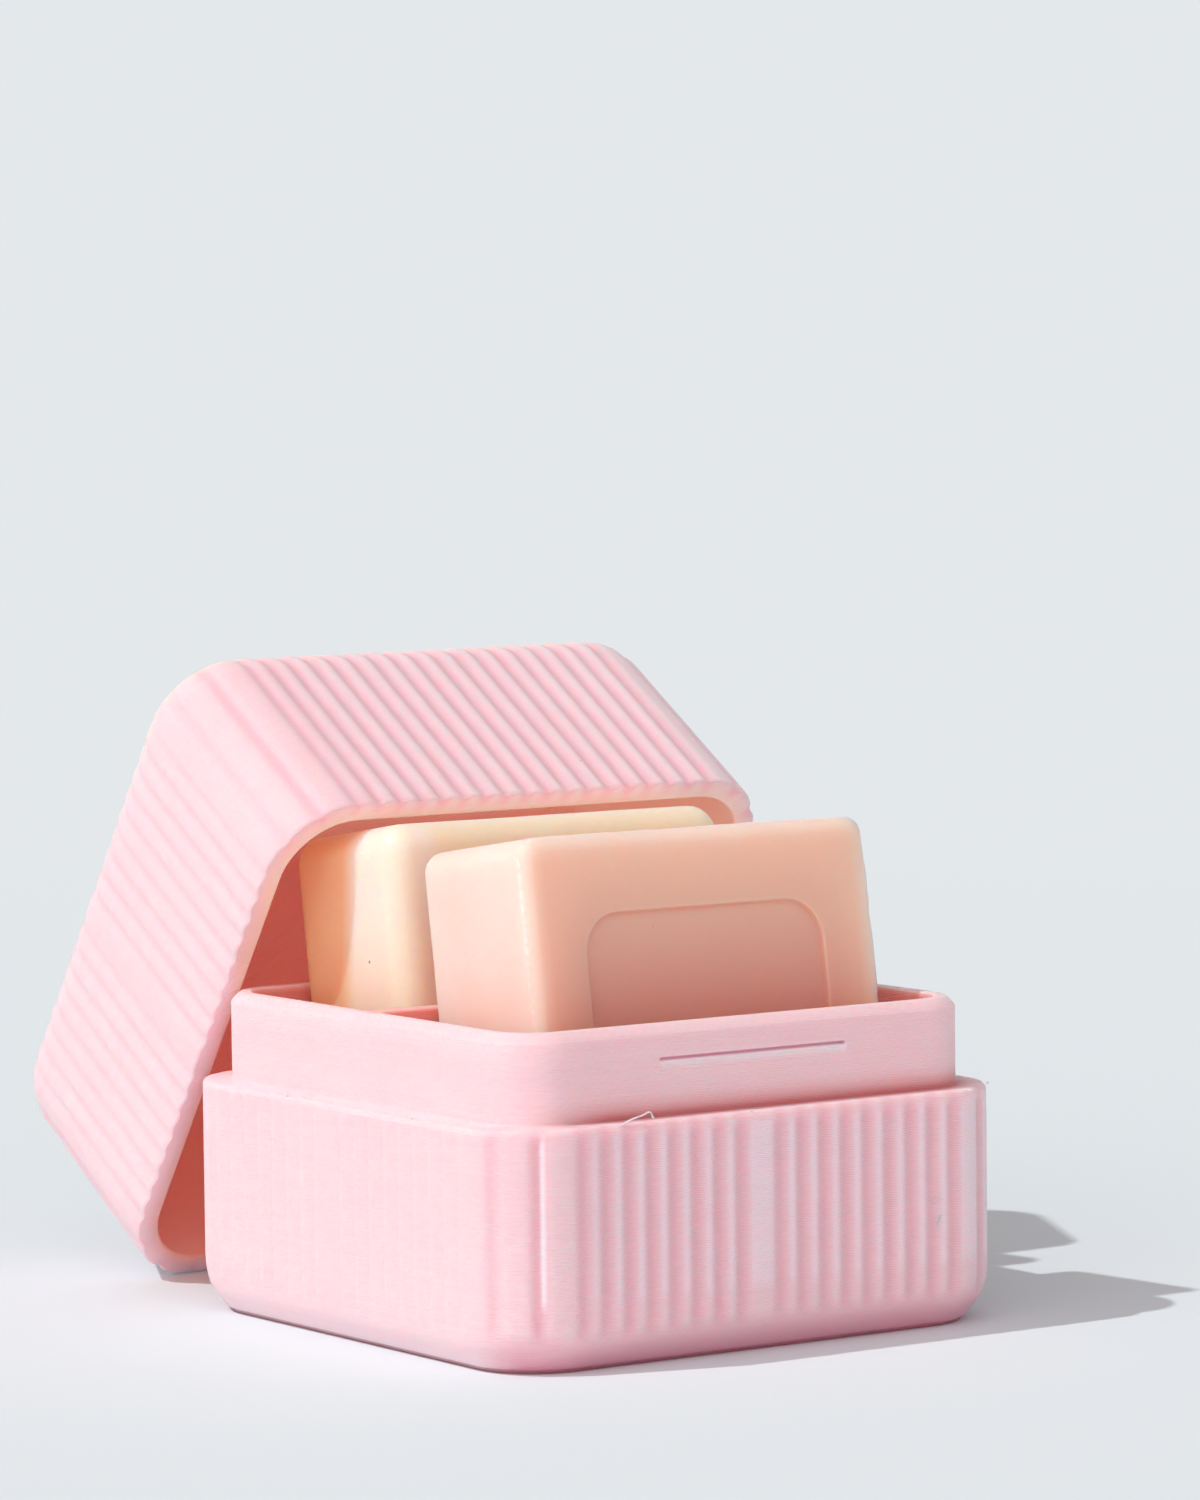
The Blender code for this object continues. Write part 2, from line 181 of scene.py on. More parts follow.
class Ring:
    """The open edge of a growing shell. Heights and insets are in metres; ribs runs from 0 to 1."""

    def __init__(self, marks, height, inset):
        self.mesh = bmesh.new()
        layers = self.mesh.verts.layers.float
        for name in ("along", "depth", "valley", "recess_share"):
            layers.new(name)
        self.along, self.depth = layers["along"], layers["depth"]
        self.valley, self.recess_share = layers["valley"], layers["recess_share"]
        self.verts = bmesh.ops.create_circle(self.mesh, segments=len(marks), radius=HALF)["verts"]
        for vertex, (distance, depth) in zip(self.verts, marks):
            vertex[self.along], vertex[self.depth] = distance, depth
        self.edges = list(self.mesh.edges)
        self.place(height, inset, 0)

    def place(self, height, inset, ribs, push=None):
        """Puts the ring in its place, pushed in further where push(distance, height) says so."""
        for vertex in self.verts:
            distance = vertex[self.along]
            spot, outward = outline_point(distance)
            extra = push(distance, height) if push else 0
            vertex[self.valley] = ribs * vertex[self.depth]
            vertex[self.recess_share] = extra / CATCH_DEPTH if push is recess else 0
            spot -= outward * (inset + RIB_DEPTH * vertex[self.valley] + extra)
            vertex.co = (spot.x, spot.y, height)

    def climb(self, height, inset, ribs=0, push=None):
        made = bmesh.ops.extrude_edge_only(self.mesh, edges=self.edges)["geom"]
        self.verts = [item for item in made if isinstance(item, bmesh.types.BMVert)]
        new = set(self.verts)
        self.edges = [item for item in made
                      if isinstance(item, bmesh.types.BMEdge) and new.issuperset(item.verts)]
        self.place(height, inset, ribs, push)

    def close(self, up, holes=()):
        """Fills the open edge with a flat face, which leaves out any openings."""
        bmesh.ops.triangle_fill(self.mesh, edges=self.edges + list(holes), use_beauty=True,
                                normal=(0, 0, up))


def ease(value):
    """Runs smoothly from 0 to 1 as the value does."""
    value = max(0.0, min(1.0, value))
    return value * value * (3 - 2 * value)


def quarter(steps):
    """The sine and the cosine's complement along a quarter turn, which round an edge over."""
    turns = [step / steps * math.pi / 2 for step in range(1, steps + 1)]
    return [(math.sin(turn), 1 - math.cos(turn)) for turn in turns]


def follow(shares, value):
    """Reads a table of (position, level) with straight runs between its points."""
    for (a, low), (b, high) in zip(shares, shares[1:]):
        if value <= b:
            return low + (high - low) * (value - a) / (b - a)
    return shares[-1][1]


# %% [markdown]
# ## Print wobble and the catch
#
# A nozzle never draws a perfect line, so the edges where a wall turns are slightly ragged, which is
# what makes the shoulder glitter along its length. A little noise on those rings does it, always
# inwards, so that no edge grows past its size. The catch is a long dent in the neck's front and
# another in its back, steep at the upper edge and sloping out below, and the lid has a bead for each.
# One function says how deep the catch is at a place, for both.

# %% Wobble and catch
CATCH_HEIGHT = RIM_HEIGHT - 0.0052
CATCH_LENGTH = 0.0310
CATCH_TALL = 0.0018
CATCH_DEPTH = 0.0006
CATCH_END = 0.0004
CATCH_UPPER = CATCH_TALL * 0.16
CATCH_LOWER = CATCH_TALL * 0.50
BEAD_DEPTH = 0.0009
WOBBLE = 0.00007
FINE, COARSE, UPWARD = 1100, 260, 300


def wobble(distance, height):
    """A ragged print edge: uneven by a few hundredths of a millimetre."""
    fine = noise.noise(Vector((distance * FINE, height * UPWARD, 0)))
    coarse = noise.noise(Vector((distance * COARSE, height * UPWARD, 7)))
    return WOBBLE * max(0, 1 + fine + coarse)


def catch_share(distance, above_middle):
    """How deep the catch is, from 0 to 1, steep at the top and sloping at the bottom."""
    ends = ease((CATCH_LENGTH / 2 - abs(from_catch_middle(distance))) / CATCH_END)
    upper = ease((CATCH_TALL / 2 - above_middle) / CATCH_UPPER)
    lower = ease((above_middle + CATCH_TALL / 2) / CATCH_LOWER)
    return ends * upper * lower


def recess(distance, height):
    return CATCH_DEPTH * catch_share(distance, height - CATCH_HEIGHT)


def bead(distance, height):
    """The lid's bead, which stands out into its hollow where the closed lid meets the recess."""
    return BEAD_DEPTH * catch_share(distance, height - (CATCH_HEIGHT - SHOULDER_HEIGHT))


# %% [markdown]
# ## The tub
#
# On the real case this is one print: a plain foot that tapers under the ribs, the ribbed wall, a flat
# shoulder, and a smooth neck that the lid slides over. The ring climbs that whole path. The foot is a
# soft curve without ribs, because the scallops fade out where the wall starts to turn in. They grow
# shallow again just under the shoulder, whose rounded lip catches the light, and so does the neck's
# rim, which is turned in by something between a chamfer and a quarter round.

# %% The tub's outside, from the ground to the rim
FOOT_INSET_SHARES = [(0.0, 1.0), (0.04, 0.93), (0.14, 0.73), (0.27, 0.50), (0.38, 0.32),
                     (0.5, 0.175), (0.62, 0.09), (0.8, 0.02), (1.0, 0.0)]
FOOT_STEPS = 22
WALL_STEPS = 6
CATCH_STEPS = 16
RIM_STEPS = 8
FOOT_EDGE = 0.0005
FOOT_EDGE_LEAN = 0.6
RIBS_START, RIBS_FULL = 0.46, 0.80
SHOULDER_ROUND = 0.0007
SHOULDER_FADE = 0.0016
SHOULDER_RIBS = 0.45

tub_ring = Ring(TUB_MARKS, 0, FOOT_INSET + FOOT_EDGE)
tub_ring.close(-1)
for rise, inward in quarter(3):
    tub_ring.climb(FOOT_EDGE * inward, FOOT_INSET + FOOT_EDGE * (1 - rise) * FOOT_EDGE_LEAN)
for step in range(2, FOOT_STEPS + 1):
    share = step / FOOT_STEPS
    fade = ease((share - RIBS_START) / (RIBS_FULL - RIBS_START))
    tub_ring.climb(share * FOOT_HEIGHT, FOOT_INSET * follow(FOOT_INSET_SHARES, share), fade)
wall_top = SHOULDER_HEIGHT - SHOULDER_ROUND
fade_start = wall_top - SHOULDER_FADE
for step in range(1, WALL_STEPS + 1):
    tub_ring.climb(FOOT_HEIGHT + (fade_start - FOOT_HEIGHT) * step / WALL_STEPS, 0, 1)
for step in range(1, WALL_STEPS + 1):
    fade = 1 - (1 - SHOULDER_RIBS) * ease(step / WALL_STEPS)
    tub_ring.climb(fade_start + SHOULDER_FADE * step / WALL_STEPS, 0, fade)
for rise, inward in quarter(5):
    tub_ring.climb(wall_top + SHOULDER_ROUND * rise, SHOULDER_ROUND * inward, SHOULDER_RIBS, wobble)
tub_ring.climb(SHOULDER_HEIGHT, NECK_INSET - LIP_ROUND)
tub_ring.climb(SHOULDER_HEIGHT + LIP_ROUND * 0.3, NECK_INSET - LIP_ROUND * 0.3)
tub_ring.climb(SHOULDER_HEIGHT + LIP_ROUND, NECK_INSET)
for step in range(CATCH_STEPS + 1):
    height = CATCH_HEIGHT + CATCH_TALL * (step / CATCH_STEPS - 0.5)
    tub_ring.climb(height, NECK_INSET, 0, recess)
tub_ring.climb(RIM_HEIGHT - RIM_ROUND, NECK_INSET)
for step, (rise, inward) in enumerate(quarter(RIM_STEPS), 1):
    straight = step / RIM_STEPS
    tub_ring.climb(RIM_HEIGHT - RIM_ROUND * (1 - (rise + 2 * straight) / 3),
                   NECK_INSET + RIM_ROUND * (inward + 2 * straight) / 3)
print("tub so far:", len(tub_ring.mesh.faces), "faces")

# %% [markdown]
# ## The two compartments
#
# A compartment is a face pushed down. It starts as one flat face in the plane of the rim, with its
# corners bevelled to the neck's curve at the wall and tightly at the divider. Insets turn its edge
# over, and then the face goes down to the floor. The floor falls towards the back, which makes a bar
# lean. The rim is the flat area between the ring and the two openings, and triangle_fill makes it
# from their edges.

# %% Compartments and rim
joints = {joint["name"]: joint for joint in frame["joints"]}
bar_up = Vector(joints["front_bar_lift"]["axis"])
FLOOR_SLOPE = math.atan2(bar_up.y, bar_up.z)
OUTER_CORNER = CORNER_RADIUS - NECK_INSET - NECK_WALL
DIVIDER_CORNER = 0.0012
FLOOR_FILLET = 0.0008
print("the floors fall", round(math.degrees(FLOOR_SLOPE), 2), "degrees to the back")


def turn_over(mesh, face, radius, steps, inward):
    """Insets a face along a quarter turn. It starts flat and ends steep, or the other way round."""
    before = (0, 0)
    for rise, away in quarter(steps):
        flat, deep = (away, rise) if inward else (rise, away)
        bmesh.ops.inset_individual(mesh, faces=[face], thickness=radius * (flat - before[0]),
                                   depth=-radius * (deep - before[1]), use_even_offset=True)
        before = (flat, deep)


def rounded_face(mesh, width, depth, centre, corners):
    """A flat face whose corners are bevelled. corners holds a test on a vertex, a radius and steps."""
    made = bmesh.ops.create_grid(mesh, x_segments=1, y_segments=1, size=0.5)["verts"]
    bmesh.ops.scale(mesh, vec=(width, depth, 1), verts=made)
    bmesh.ops.translate(mesh, vec=centre, verts=made)
    face = made[0].link_faces[0]
    chosen = [[v for v in face.verts if test(v)] for test, _, _ in corners]
    for verts, (_, radius, steps) in zip(chosen, corners):
        bmesh.ops.bevel(mesh, geom=verts, offset=radius, segments=steps, profile=0.5,
                        affect="VERTICES", material=-1)
    return [f for f in mesh.faces if len(f.verts) > 4 and all(e.is_boundary for e in f.edges)][-1]


def pocket(front, back):
    """One compartment as a mesh of its own: its rounded lip, its walls and its sloping floor."""
    mesh = bmesh.new()
    outer = max(abs(front), abs(back))
    corners = [(lambda v: abs(v.co.y) > outer, OUTER_CORNER + LIP_ROUND, 12),
               (lambda v: abs(v.co.y) < outer / 2, DIVIDER_CORNER + LIP_ROUND, 6)]
    face = rounded_face(mesh, 2 * (BORE_HALF + LIP_ROUND), back - front + 2 * LIP_ROUND,
                        (0, (front + back) / 2, RIM_HEIGHT), corners)
    turn_over(mesh, face, LIP_ROUND, 4, False)
    wall = RIM_HEIGHT - LIP_ROUND - FLOOR_FILLET - FLOOR_THICKNESS
    bmesh.ops.inset_individual(mesh, faces=[face], thickness=0, depth=-wall)
    turn_over(mesh, face, FLOOR_FILLET, 3, True)
    for vertex in mesh.verts:
        if vertex.co.z < RIM_HEIGHT / 2:
            vertex.co.z += (back - vertex.co.y) * math.tan(FLOOR_SLOPE)
    return mesh


def add_mesh(target, source):
    """Copies one bmesh into another, and returns the copied vertices."""
    data = bpy.data.meshes.new("part")
    source.to_mesh(data)
    source.free()
    before = len(target.verts)
    target.from_mesh(data)
    bpy.data.meshes.remove(data)
    target.verts.ensure_lookup_table()
    return target.verts[before:]


openings = []
for front, back in ((-BORE_HALF, -DIVIDER / 2), (DIVIDER / 2, BORE_HALF)):
    for vertex in add_mesh(tub_ring.mesh, pocket(front, back)):
        openings += [edge for edge in vertex.link_edges if edge.is_boundary and edge not in openings]
tub_ring.edges = [edge for edge in tub_ring.mesh.edges if edge.is_boundary and edge not in openings]
tub_ring.close(1, openings)
print("tub:", len(tub_ring.mesh.faces), "faces,", len(openings), "edges round the openings")

# %% [markdown]
# ## From mesh to object
#
# Every piece ends the same way: its normals are made to point outwards, it is shaded smooth except at
# its sharp edges, it takes the place of its CAD node, and it rides on that node's body.

# %% Finishing a piece
SHARP = 34


def finish_piece(mesh, name, node, sharp=SHARP, replace=True):
    """Makes the object. It stands for a CAD node and rides on its body."""
    bmesh.ops.recalc_face_normals(mesh, faces=mesh.faces)
    data = bpy.data.meshes.new(name)
    mesh.to_mesh(data)
    mesh.free()
    data.shade_smooth()
    data.set_sharp_from_angle(angle=math.radians(sharp))
    piece = bpy.data.objects.new(name, data)
    bpy.context.scene.collection.objects.link(piece)
    if replace:
        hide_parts(node)
    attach(piece, node)
    print(f"{name}: {len(data.polygons)} faces")
    return piece


def seat(mesh, turn, node):
    """Turns a mesh and sets it in its CAD node's box, corner to corner."""
    mesh.transform(turn)
    low = Vector([min(v.co[k] for v in mesh.verts) for k in range(3)])
    high = Vector([max(v.co[k] for v in mesh.verts) for k in range(3)])
    node_low, node_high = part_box(node)
    place = (node_low + node_high - low - high) / 2
    mesh.transform(Matrix.Translation(place))
    print(f"{node} seated, off its box by {(high - low - node_high + node_low).length:.5f} m")
    return Matrix.Translation(place) @ turn


tub = finish_piece(tub_ring.mesh, "tub_print", "tub")

# %% [markdown]
# ## The lid
#
# The lid has the same ribbed outline and is a hollow cap. It is made the right way up, with its open
# rim at zero, in one climb that starts at the ceiling of the hollow: down the inner wall past the
# bead, across the flat rim, up the ribbed outside, and over the soft edge to the crown. Then it is
# turned and set in its place. The direction that it is pulled away in is its own axis, so the joint
# gives its lean.

# %% The lid's whole skin
RIM_EDGE_INSET = LID_LIP * 1.6
CROWN_FADE_START, CROWN_FADE_END = 0.50, 0.95

ceiling = LID_HEIGHT - LID_CROWN
lid_ring = Ring(LID_MARKS, ceiling, LID_WALL + LID_FILLET)
lid_ring.close(-1)
for rise, away in quarter(6):
    lid_ring.climb(ceiling - LID_FILLET * away, LID_WALL + LID_FILLET * (1 - rise))
bead_height = CATCH_HEIGHT - SHOULDER_HEIGHT
for step in range(CATCH_STEPS + 1):
    lid_ring.climb(bead_height + CATCH_TALL * (0.5 - step / CATCH_STEPS), LID_WALL, 0, bead)
lid_ring.climb(LIP_ROUND, LID_WALL)
for rise, away in quarter(3):
    lid_ring.climb(LIP_ROUND * (1 - rise), LID_WALL - LIP_ROUND * away)
lid_ring.climb(0, RIM_EDGE_INSET, 1)
for rise, away in quarter(3):
    lid_ring.climb(LID_LIP * away, LID_LIP * (1 - rise), 1, wobble)
side_top = LID_HEIGHT - LID_ROUND_HEIGHT
for step in range(1, WALL_STEPS + 1):
    lid_ring.climb(LID_LIP + (side_top - LID_LIP) * step / WALL_STEPS, 0, 1)
for rise, away in quarter(14):
    fade = 1 - ease((rise - CROWN_FADE_START) / (CROWN_FADE_END - CROWN_FADE_START))
    lid_ring.climb(side_top + LID_ROUND_HEIGHT * rise, LID_ROUND_INSET * away, fade)
lid_ring.close(1)

# %% Set the lid in its place
lid_out = Vector(joints["lid_pull_away"]["axis"]).normalized()
lid_right = lid_out.cross(Vector((0, 0, 1))).normalized()
lid_turn = Matrix((lid_right, lid_out.cross(lid_right), lid_out)).transposed().to_4x4()
lid_place = seat(lid_ring.mesh, lid_turn, "lid")
lid = finish_piece(lid_ring.mesh, "lid_print", "lid")

# %% [markdown]
# ## The soap bars
#
# A poured bar has soft edges, faces that are never quite flat, and a thin seam where the two halves
# of its mould met. A cube is bevelled along its thickness and then round both faces. The front bar's
# face is opened, a panel is pushed in, and the face is filled again round it. Cutting the whole bar
# into slices gives it enough vertices for a little noise, which takes away the machined look.

# %% Bars
SLICE = 0.0019
WAVE = 0.00016
SEAM_SETBACK = 0.0012
SEAM_WIDTH = 0.0009
SEAM_PROUD = 0.00028
PANEL_WIDTH = 0.0400
PANEL_HEIGHT = 0.0420
PANEL_CORNER = 0.0060
PANEL_DEPTH = 0.0008


def rounded_bar(width, thickness, height, corner, edge):
    """A bar that stands on zero, with its outline's corners and then both faces' edges rounded."""
    mesh = bmesh.new()
    made = bmesh.ops.create_cube(mesh, size=1)["verts"]
    bmesh.ops.scale(mesh, vec=(width, thickness, height), verts=made)
    bmesh.ops.translate(mesh, vec=(0, 0, height / 2), verts=made)
    across = [e for e in mesh.edges if abs(e.verts[0].co.y - e.verts[1].co.y) > thickness / 2]
    bmesh.ops.bevel(mesh, geom=across, offset=corner, segments=9, profile=0.5, affect="EDGES",
                    material=-1)
    for y in (-thickness / 2, thickness / 2):
        rim = [e for e in mesh.edges if all(abs(v.co.y - y) < edge / 10 for v in e.verts)]
        bmesh.ops.bevel(mesh, geom=rim, offset=edge, segments=8, profile=0.5, affect="EDGES",
                        material=-1)
    return mesh


def press_panel(mesh, y, middle):
    """Opens the face at y, and fills it again round a panel that is pushed in."""
    face = max((f for f in mesh.faces if f.normal.y < -0.99), key=lambda f: f.calc_area())
    bmesh.ops.delete(mesh, geom=[face], context="FACES_ONLY")
    panel = bmesh.new()
    pressed = rounded_face(panel, PANEL_WIDTH, PANEL_HEIGHT, (0, 0, 0),
                           [(lambda v: True, PANEL_CORNER, 8)])
    turn_over(panel, pressed, PANEL_DEPTH * 0.45, 4, False)
    turn_over(panel, pressed, PANEL_DEPTH * 0.55, 4, True)
    panel.transform(Matrix.Translation((0, y, middle)) @ Matrix.Rotation(math.pi / 2, 4, "X"))
    add_mesh(mesh, panel)
    bmesh.ops.triangle_fill(mesh, edges=[e for e in mesh.edges if e.is_boundary], use_beauty=True,
                            normal=(0, -1, 0))


def slice_up(mesh):
    """Cuts the mesh into slices along X and Z, so that its faces have vertices to move."""
    for axis in (0, 2):
        low = min(v.co[axis] for v in mesh.verts)
        high = max(v.co[axis] for v in mesh.verts)
        for k in range(1, int((high - low) / SLICE)):
            at, across = Vector(), Vector()
            at[axis], across[axis] = low + k * SLICE, 1
            bmesh.ops.bisect_plane(mesh, geom=mesh.verts[:] + mesh.edges[:] + mesh.faces[:],
                                   plane_co=at, plane_no=across)


def raise_seam(mesh, y):
    """Raises the mould's seam: a thin, uneven ridge round the bar."""
    for offset in (-SEAM_WIDTH / 2, 0, SEAM_WIDTH / 2):
        bmesh.ops.bisect_plane(mesh, geom=mesh.verts[:] + mesh.edges[:] + mesh.faces[:],
                               plane_co=(0, y + offset, 0), plane_no=(0, 1, 0))
    mesh.normal_update()
    for vertex in mesh.verts:
        if abs(vertex.co.y - y) < SEAM_WIDTH / 10:
            out = Vector((vertex.normal.x, 0, vertex.normal.z)).normalized()
            uneven = 0.6 + 0.8 * noise.noise(vertex.co * 260) + 0.5 * noise.noise(vertex.co * 700)
            vertex.co += out * SEAM_PROUD * max(0.05, min(uneven, 1))


def soften(mesh, seed):
    """Leaves every face a little uneven, as poured soap is. It only ever moves inwards."""
    mesh.normal_update()
    for vertex in mesh.verts:
        large = noise.noise(vertex.co * 75 + Vector((seed, 0, 0)))
        small = noise.noise(vertex.co * 330 + Vector((0, seed, 0)))
        vertex.co -= vertex.normal * WAVE * (0.8 + large + 0.3 * small) / 2


# %% The front bar, with its plain pressed panel
lean = Matrix.Rotation(-FLOOR_SLOPE, 4, "X")
FRONT_BAR = (0.0580, 0.0255, 0.0633)
FRONT_BAR_CORNER = 0.0032
FRONT_BAR_EDGE = 0.0022

front_mesh = rounded_bar(*FRONT_BAR, FRONT_BAR_CORNER, FRONT_BAR_EDGE)
press_panel(front_mesh, -FRONT_BAR[1] / 2, FRONT_BAR[2] / 2)
slice_up(front_mesh)
raise_seam(front_mesh, SEAM_SETBACK - FRONT_BAR[1] / 2)
soften(front_mesh, 3)
front_place = seat(front_mesh, lean, "front_bar")
front_bar = finish_piece(front_mesh, "front_bar_soap", "front_bar", 50)

# %% The rear bar, rounder and plain
REAR_BAR = (0.0573, 0.0274, 0.0626)
REAR_BAR_CORNER = 0.0042
REAR_BAR_EDGE = 0.0040

rear_mesh = rounded_bar(*REAR_BAR, REAR_BAR_CORNER, REAR_BAR_EDGE)
slice_up(rear_mesh)
soften(rear_mesh, 11)
rear_place = seat(rear_mesh, lean, "rear_bar")
rear_bar = finish_piece(rear_mesh, "rear_bar_soap", "rear_bar", 50)

# %% [markdown]
# ## Loose print strings and specks
#
# A printed part shows where the nozzle let go: one fine string stands on the front edge of the
# shoulder, a finer one clings to the front, and small beads of plastic sit on edges. A string is a
# tiny circle that is spun along arcs, one after another, which is how a bent wire is made. The beads
# are small icospheres, half sunk in the edge that they sit on.

# %% The strings
STRING_RADIUS = 0.00012
STRING_START = Vector((-0.0246, -0.04262, SHOULDER_HEIGHT - 0.0001))
STRING_ARCS = [(0.0130, 14), (-0.0045, 16), (0.0007, 50), (0.0004, 62), (-0.0005, 60)]
THREAD_RADIUS = 0.00008
THREAD_START = Vector((0.0272, -0.04288, 0.0180))
THREAD_ARCS = [(0.0009, 110), (0.0016, 60), (-0.0020, 50)]


def bent_string(radius, start, heading, arcs):
    """Spins a small circle along arcs in the XZ plane. An arc has a radius and an angle in degrees."""
    mesh = bmesh.new()
    bmesh.ops.create_circle(mesh, segments=7, radius=radius, cap_ends=True)
    facing = Vector((math.cos(heading), 0, math.sin(heading)))
    mesh.transform(Matrix.Translation(start) @ facing.to_track_quat("Z", "Y").to_matrix().to_4x4())
    tip, place = mesh.faces[:], start.copy()
    for bend, degrees in arcs:
        aside = Vector((facing.z, 0, -facing.x)) * bend
        turn = math.copysign(math.radians(degrees), bend)
        spun = bmesh.ops.spin(mesh, geom=tip, cent=place + aside, axis=(0, 1, 0), angle=turn, steps=7)
        tip = [item for item in spun["geom_last"] if isinstance(item, bmesh.types.BMFace)]
        rotate = Matrix.Rotation(turn, 3, "Y")
        place = place + aside - rotate @ aside
        facing = rotate @ facing
    print("the string ends at", [round(value * 1000, 2) for value in place], "mm")
    return mesh


string_mesh = bent_string(STRING_RADIUS, STRING_START, math.radians(24), STRING_ARCS)
add_mesh(string_mesh, bent_string(THREAD_RADIUS, THREAD_START, math.radians(40), THREAD_ARCS))
string = finish_piece(string_mesh, "print_string", "tub", replace=False)

# %% Beads of plastic on the edges
BEAD_SPOTS = [
    (0.0162, -0.0385, 0.0405, 0.00022), (0.0171, -0.0385, 0.0403, 0.00014),
    (-0.0032, -0.0425, 0.0328, 0.00016), (0.0338, -0.0424, 0.0327, 0.00018),
    (0.0400, -0.0385, 0.0328, 0.00020), (-0.0298, -0.0419, 0.0328, 0.00013),
    (-0.0425, 0.0118, 0.0328, 0.00017), (-0.0425, -0.0196, 0.0328, 0.00013),
    (0.0203, -0.0378, 0.0446, 0.00012), (-0.0121, -0.0378, 0.0446, 0.00010),
    (-0.0202, -0.0392, 0.0010, 0.00025), (0.0118, -0.0393, 0.0009, 0.00022),
    (-0.0393, -0.0093, 0.0010, 0.00024), (-0.0393, 0.0152, 0.0009, 0.00022),
]
beads_mesh = bmesh.new()
for x, y, z, radius in BEAD_SPOTS:
    made = bmesh.ops.create_icosphere(beads_mesh, subdivisions=2, radius=radius)["verts"]
    bmesh.ops.scale(beads_mesh, vec=(1.5, 1.1, 0.8), verts=made)
    bmesh.ops.rotate(beads_mesh, matrix=Matrix.Rotation(x * 900, 3, "Z"), verts=made)
    bmesh.ops.translate(beads_mesh, vec=(x, y, z), verts=made)
beads = finish_piece(beads_mesh, "print_beads", "tub", replace=False)

# %% [markdown]
# ## Shader maths in Python
#
# A material is a small sum: a place on the surface goes in and a colour, a roughness and a bump come
# out. The class below wraps a socket, so that the sum can be written with plus, minus, times and
# divide, and each of them adds a Math node. Two methods, rises and falls, turn a value into a soft
# mask. Every other node comes from one method, make. Its settings are set first, and then the values
# or links of its sockets.

# %% A socket that can be calculated with


class Signal:
    """A node's output. Arithmetic on it adds Math nodes."""

    def __init__(self, recipe, socket):
        self.recipe, self.socket = recipe, socket

    def math(self, operation, first, second=0.0, clamp=False):
        return self.recipe.make("ShaderNodeMath", {"operation": operation, "use_clamp": clamp},
                                {0: first, 1: second})

    def __add__(self, other):
        return self.math("ADD", self, other)

    def __radd__(self, other):
        return self.math("ADD", other, self)

    def __sub__(self, other):
        return self.math("SUBTRACT", self, other)

    def __rsub__(self, other):
        return self.math("SUBTRACT", other, self)

    def __mul__(self, other):
        return self.math("MULTIPLY", self, other)

    def __rmul__(self, other):
        return self.math("MULTIPLY", other, self)

    def __truediv__(self, other):
        return self.math("DIVIDE", self, other)

    def __rtruediv__(self, other):
        return self.math("DIVIDE", other, self)

    def __pow__(self, other):
        return self.math("POWER", self, other)

    def __abs__(self):
        return self.math("ABSOLUTE", self)

    def sine(self):
        return self.math("SINE", self)

    def clamped(self):
        return self.math("ADD", self, 0.0, clamp=True)

    def above_zero(self):
        return self.math("MAXIMUM", self, 0.0)

    def rises(self, start, width):
        """A mask: 0 up to the start, and 1 from where the value is the width past it."""
        return ((self - start) / width).clamped()

    def falls(self, end, width):
        """A mask: 1 up to where the value is the width short of the end, and 0 past the end."""
        return ((end - self) / width).clamped()


class Recipe:
    """A material or a world, and the one way in which its nodes are made."""

    def __init__(self, owner):
        owner.use_nodes = True
        self.owner, self.tree = owner, owner.node_tree

    def make(self, kind, settings=None, inputs=None, output=0):
        node = self.tree.nodes.new(kind)
        for key, value in (settings or {}).items():
            setattr(node, key, value)
        self.fill(node, inputs or {})
        return Signal(self, node.outputs[output])

    def fill(self, node, inputs):
        for key, value in inputs.items():
            if isinstance(value, Signal):
                self.tree.links.new(value.socket, node.inputs[key])
            else:
                node.inputs[key].default_value = value

    def mix(self, factor, first, second):
        """Mixes two colours. A colour is three numbers or a signal."""
        pair = {key: (*c, 1) if isinstance(c, tuple) else c for key, c in ((6, first), (7, second))}
        return self.make("ShaderNodeMix", {"data_type": "RGBA"}, {0: factor, **pair}, 2)

    def noise(self, vector, scale, detail=2.0, rough=0.5):
        return self.make("ShaderNodeTexNoise", {}, {"Vector": vector, "Scale": scale, "Detail": detail,
                                                    "Roughness": rough})

    def stretched(self, vector, sizes):
        """The vector, scaled differently along each axis."""
        return self.make("ShaderNodeVectorMath", {"operation": "MULTIPLY"}, {0: vector, 1: sizes})

    def parts(self, vector):
        return [self.make("ShaderNodeSeparateXYZ", {}, {0: vector}, k) for k in range(3)]

    def distance(self, vector, spot):
        return self.make("ShaderNodeVectorMath", {"operation": "DISTANCE"}, {0: vector, 1: spot}, 1)

    def where(self):
        return self.make("ShaderNodeTexCoord", {}, {}, "Object")

    def bump(self, height, distance, under=None):
        """A Bump node over the one under it. The height is from 0 to 1, and the distance in metres."""
        more = {"Normal": under} if under else {}
        return self.make("ShaderNodeBump", {}, {"Height": height, "Distance": distance,
                                                "Strength": 1.0, **more})

    def specks(self, vector, density, size, edge, patches):
        """Scattered spots: the middles of some Voronoi cells, which a coarser noise picks."""
        cells = self.make("ShaderNodeTexVoronoi", {}, {"Vector": vector, "Scale": density}, "Distance")
        return cells.falls(size, edge) * self.noise(vector, patches, 0.0).rises(0.60, 0.05)

    def own_place(self, place):
        """Object coordinates, turned and moved back to how the piece was made, before it was seated."""
        return self.make("ShaderNodeMapping", {"vector_type": "TEXTURE"},
                         {"Vector": self.where(), "Location": place.to_translation(),
                          "Rotation": place.to_euler()})


print("shader maths is ready")
